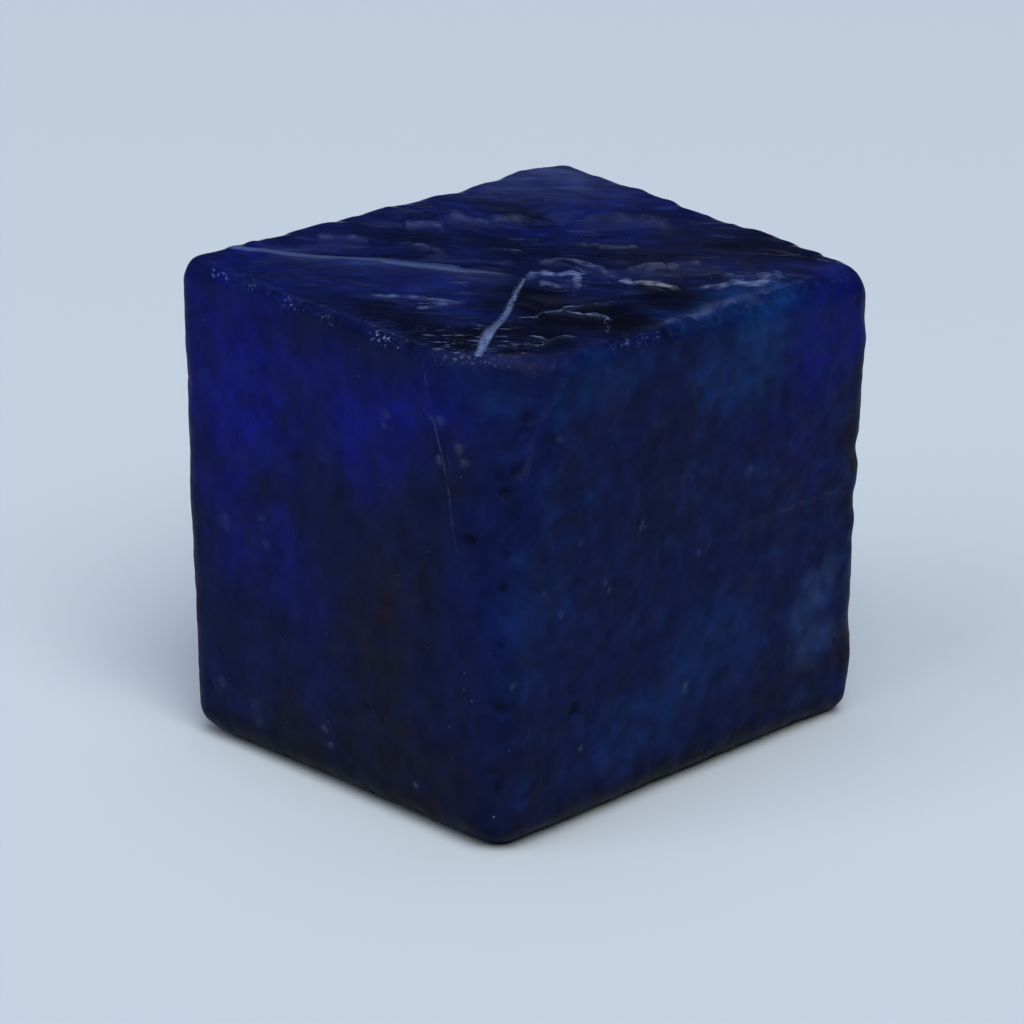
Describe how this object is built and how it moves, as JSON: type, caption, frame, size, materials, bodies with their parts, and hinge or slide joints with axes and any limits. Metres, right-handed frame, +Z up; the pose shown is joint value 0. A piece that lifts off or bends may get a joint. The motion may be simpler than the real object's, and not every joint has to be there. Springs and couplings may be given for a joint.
{
  "type": "rough tanzanite",
  "caption": "Near-cubic block of rough deep-blue tanzanite with worn edges, satin sides and a broken, glassy top.",
  "frame": {"origin": "middle of the bounding box's underside, on the plane the stone rests on", "axes": "+Z up through the broken top; +X and +Y out of two of the four upright sides, with the longer plan side along Y"},
  "size_m": [0.0182, 0.022, 0.0204],
  "materials": {
    "tanzanite": "satin worn sides, glassy broken top"
  },
  "bodies": {
    "root": {"rough_tanzanite": "tanzanite"}
  },
  "joints": []
}
